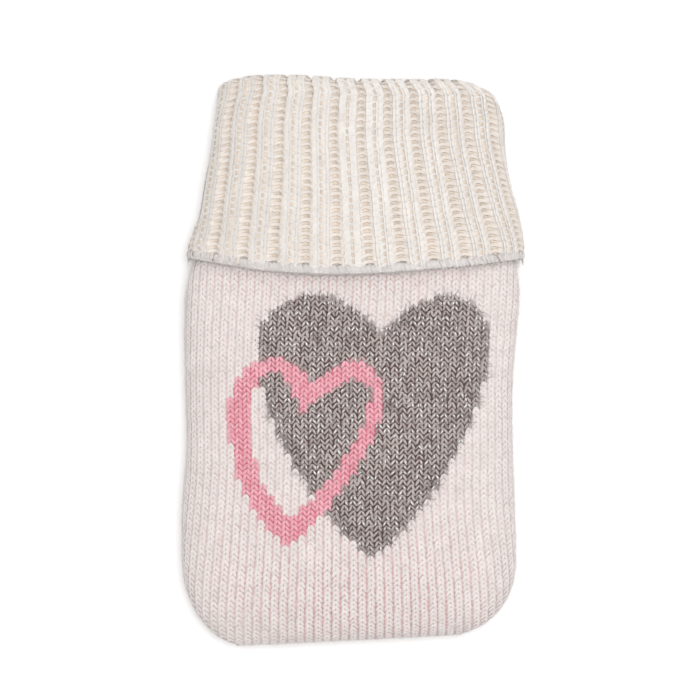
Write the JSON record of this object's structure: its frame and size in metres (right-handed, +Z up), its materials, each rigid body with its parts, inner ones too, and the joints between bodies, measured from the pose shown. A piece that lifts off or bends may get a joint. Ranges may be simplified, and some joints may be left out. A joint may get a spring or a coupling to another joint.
{
  "type": "hand warmer cover",
  "caption": "Knitted pouch that slips over a gel hand warmer: hollow body with a rounded foot and a deep rib cuff folded over at its mouth, lying on its back.",
  "frame": {"origin": "middle of the footprint, on the surface that the cover lies on", "axes": "+X to the right seen from the front, +Y towards the neck and its mouth, +Z up through the front panel"},
  "size_m": [0.096, 0.1602, 0.0227],
  "materials": {
    "front_knit": "matte knitted yarn",
    "back_knit": "matte knitted yarn",
    "cuff_knit": "matte ribbed yarn"
  },
  "bodies": {
    "root": {"front_panel": "front_knit", "back_panel": "back_knit", "rib_cuff": "cuff_knit"}
  },
  "joints": []
}
